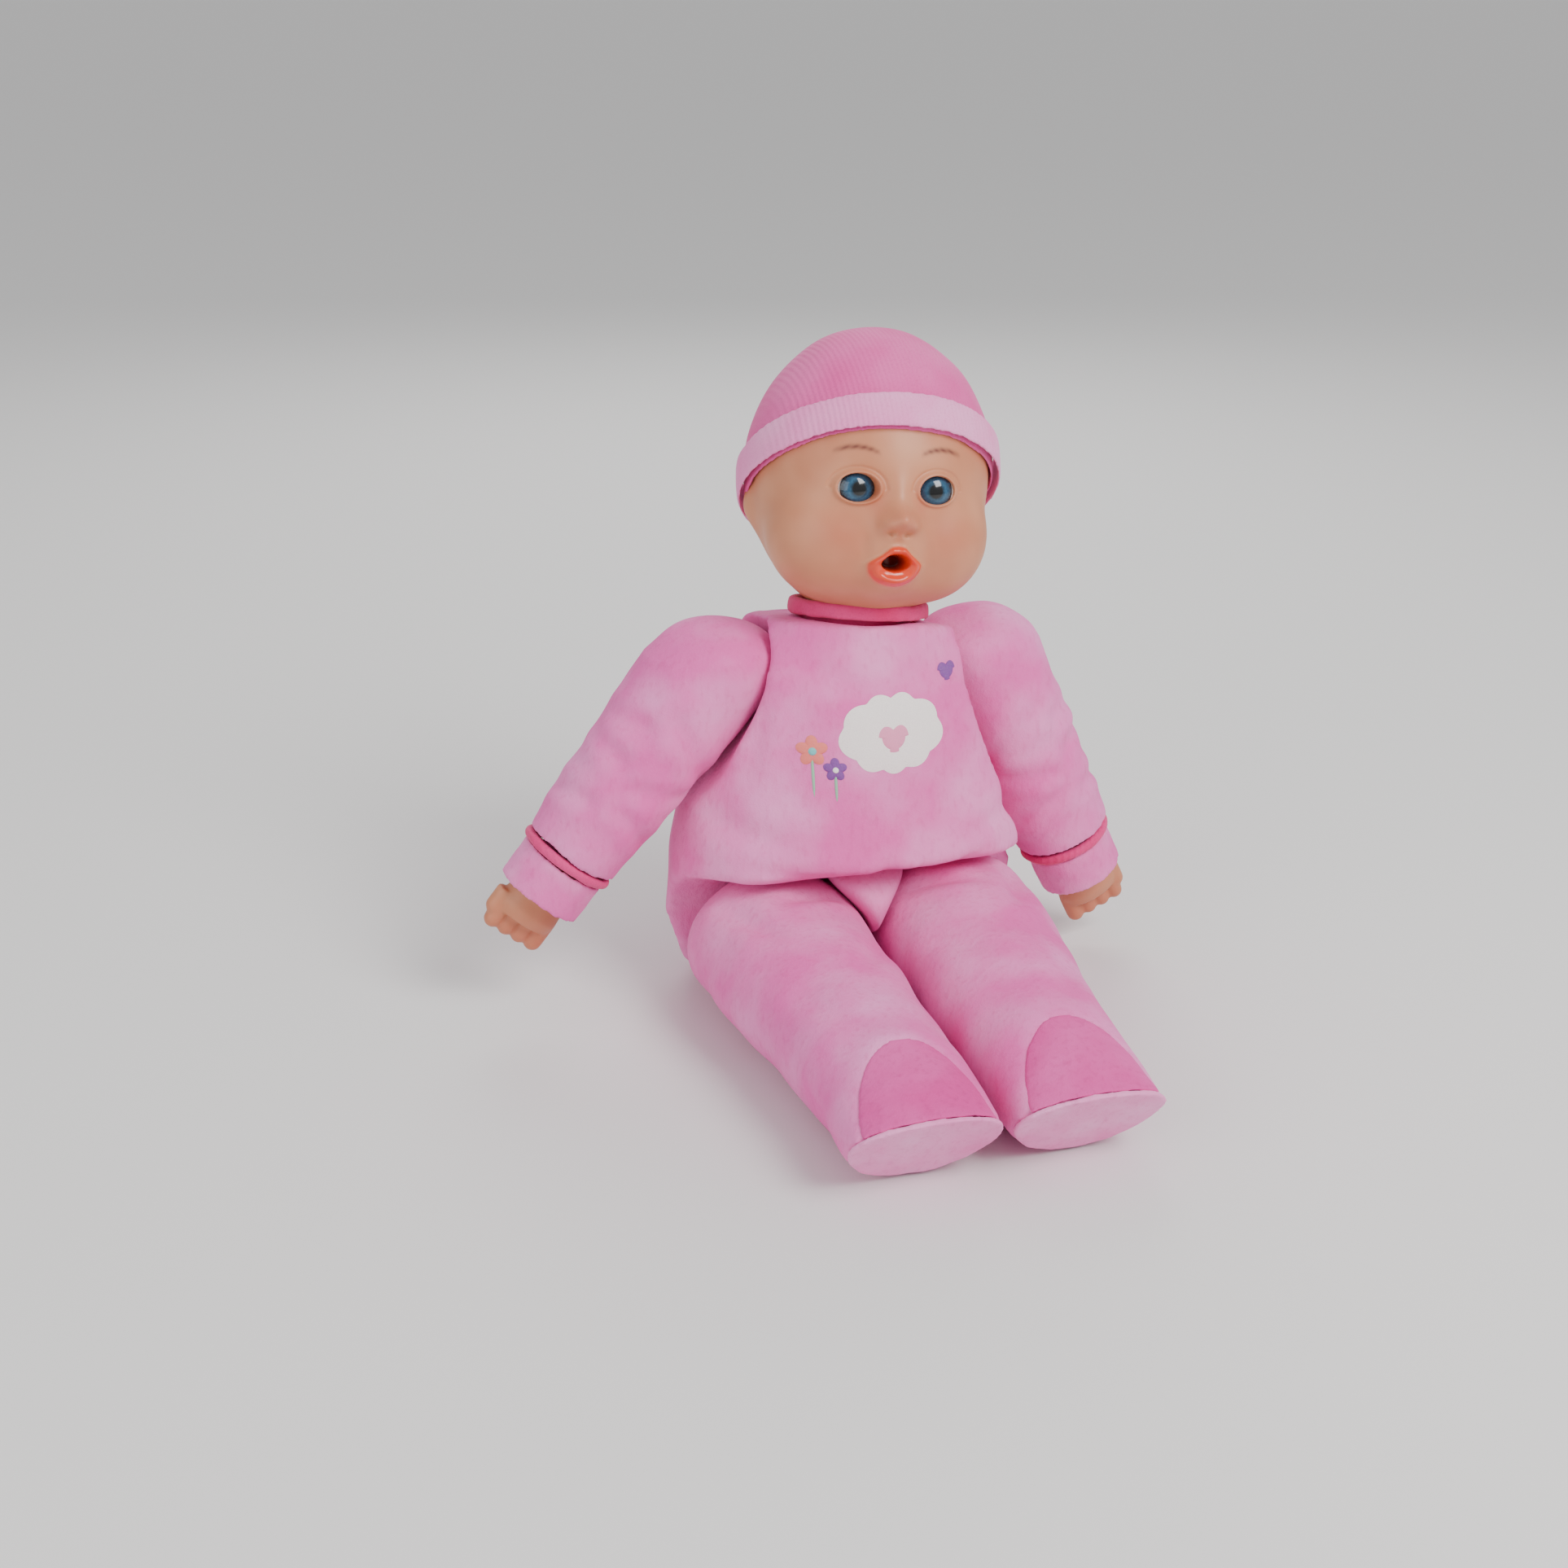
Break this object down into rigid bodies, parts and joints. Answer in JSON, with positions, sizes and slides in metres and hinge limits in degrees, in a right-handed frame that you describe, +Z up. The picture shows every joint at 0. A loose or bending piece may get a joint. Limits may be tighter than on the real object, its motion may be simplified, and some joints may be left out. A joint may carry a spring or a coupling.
{
  "type": "interactive baby doll",
  "caption": "Sitting soft-bodied talking baby doll with a vinyl head and hands, a footed velour suit, a knitted hat and a sound box in its back.",
  "frame": {"origin": "middle of the flat that the doll sits on, on the surface that it rests on", "axes": "+Z up, the doll faces -Y with its legs out in front, and its left side is +X"},
  "size_m": [0.273, 0.2408, 0.2629],
  "materials": {
    "stuffing": "polyester fibre filling in a thin cloth bag",
    "velour": "mid pink cotton velour, short soft pile",
    "velour_light": "lighter pink velour",
    "rib_hot_pink": "deep pink knitted binding",
    "foot_pink": "darker pink smooth jersey",
    "print_white": "white jersey patch with a printed motif",
    "knit": "pink stockinette knit",
    "knit_light": "lighter pink rib knit",
    "vinyl_skin": "tan soft vinyl, matt",
    "eye_white": "white acrylic",
    "eye_blue": "blue printed iris",
    "eye_clear": "clear acrylic lens",
    "tape": "white hook-and-loop tape",
    "case_plastic": "off-white moulded ABS",
    "door_plastic": "light grey moulded ABS",
    "dark_plastic": "black moulded plastic",
    "steel": "zinc-plated steel",
    "cell": "plain grey-blue cell jacket",
    "board": "green solder mask",
    "cone": "black paper cone",
    "nylon": "white nylon tie"
  },
  "bodies": {
    "torso": {"torso_stuffing": "stuffing", "suit_front": "velour", "suit_back": "velour", "neck_binding": "rib_hot_pink", "neck_tie": "nylon", "chest_patch": "print_white", "flap_hook_tape": "tape", "sound_case_front": "case_plastic", "sound_case_rear": "case_plastic", "battery_door": "door_plastic", "battery_door_screw": "steel", "case_screws": "steel", "battery_cells": "cell", "battery_contacts": "steel", "speaker_frame": "steel", "speaker_cone": "cone", "speaker_magnet": "dark_plastic", "circuit_board": "board", "belly_switch": "case_plastic"},
    "head": {"head_shell": "vinyl_skin", "hat_crown": "knit", "hat_cuff": "knit_light", "left_eye_globe": "eye_white", "right_eye_globe": "eye_white", "left_eye_iris": "eye_blue", "right_eye_iris": "eye_blue", "left_eye_cornea": "eye_clear", "right_eye_cornea": "eye_clear", "mouth_switch": "dark_plastic"},
    "mouth_plunger": {"mouth_plunger": "dark_plastic"},
    "belly_button": {"belly_button": "case_plastic"},
    "power_slider": {"power_slider": "dark_plastic"},
    "back_flap": {"back_flap": "velour", "flap_loop_tape": "tape"},
    "left_arm": {"left_arm_stuffing": "stuffing", "left_sleeve": "velour", "left_cuff_piping": "rib_hot_pink", "left_cuff": "velour_light", "left_wrist_tie": "nylon"},
    "left_hand": {"left_hand": "vinyl_skin"},
    "left_leg": {"left_leg_stuffing": "stuffing", "left_trouser_leg": "velour", "left_foot_top": "foot_pink", "left_foot_sole": "velour_light"},
    "right_arm": {"right_arm_stuffing": "stuffing", "right_sleeve": "velour", "right_cuff_piping": "rib_hot_pink", "right_cuff": "velour_light", "right_wrist_tie": "nylon"},
    "right_hand": {"right_hand": "vinyl_skin"},
    "right_leg": {"right_leg_stuffing": "stuffing", "right_trouser_leg": "velour", "right_foot_top": "foot_pink", "right_foot_sole": "velour_light"}
  },
  "joints": [
    {"name": "head_turn", "type": "hinge", "parent": "torso", "child": "head", "pos_m": [0.00185, -0.03144, 0.15207], "axis": [0.1006, 0.1655, 0.9811], "range_deg": [-80, 80]},
    {"name": "mouth_press", "type": "slide", "parent": "head", "child": "mouth_plunger", "axis": [0.0708, 0.9824, -0.173], "range_m": [0, 0.0015], "stiffness_N_per_m": 400, "springref_m": -0.0005},
    {"name": "belly_press", "type": "slide", "parent": "torso", "child": "belly_button", "axis": [0, 1, 0], "range_m": [0, 0.002], "stiffness_N_per_m": 500, "springref_m": -0.0005},
    {"name": "power_switch", "type": "slide", "parent": "torso", "child": "power_slider", "axis": [1, 0, 0], "range_m": [0, 0.004]},
    {"name": "back_flap_lift", "type": "hinge", "parent": "torso", "child": "back_flap", "pos_m": [0, 0.0203, 0.1146], "axis": [1, 0, 0], "range_deg": [0, 110]},
    {"name": "left_shoulder_swing", "type": "hinge", "parent": "torso", "child": "left_arm", "pos_m": [0.054, -0.0263, 0.136], "axis": [-1, 0, 0], "range_deg": [-40, 120]},
    {"name": "left_hand_turn", "type": "hinge", "parent": "left_arm", "child": "left_hand", "pos_m": [0.10459, -0.0263, 0.03228], "axis": [0.4384, 0, -0.8988], "range_deg": [-90, 90]},
    {"name": "left_hip_swing", "type": "hinge", "parent": "torso", "child": "left_leg", "pos_m": [0.037, -0.0483, 0.028], "axis": [1, 0, 0], "range_deg": [-15, 90]},
    {"name": "right_shoulder_swing", "type": "hinge", "parent": "torso", "child": "right_arm", "pos_m": [-0.054, -0.0263, 0.14], "axis": [-1, 0, 0], "range_deg": [-40, 120]},
    {"name": "right_hand_turn", "type": "hinge", "parent": "right_arm", "child": "right_hand", "pos_m": [-0.12662, -0.0263, 0.05032], "axis": [-0.6293, 0, -0.7771], "range_deg": [-90, 90]},
    {"name": "right_hip_swing", "type": "hinge", "parent": "torso", "child": "right_leg", "pos_m": [-0.037, -0.0483, 0.028], "axis": [1, 0, 0], "range_deg": [-15, 90]}
  ]
}
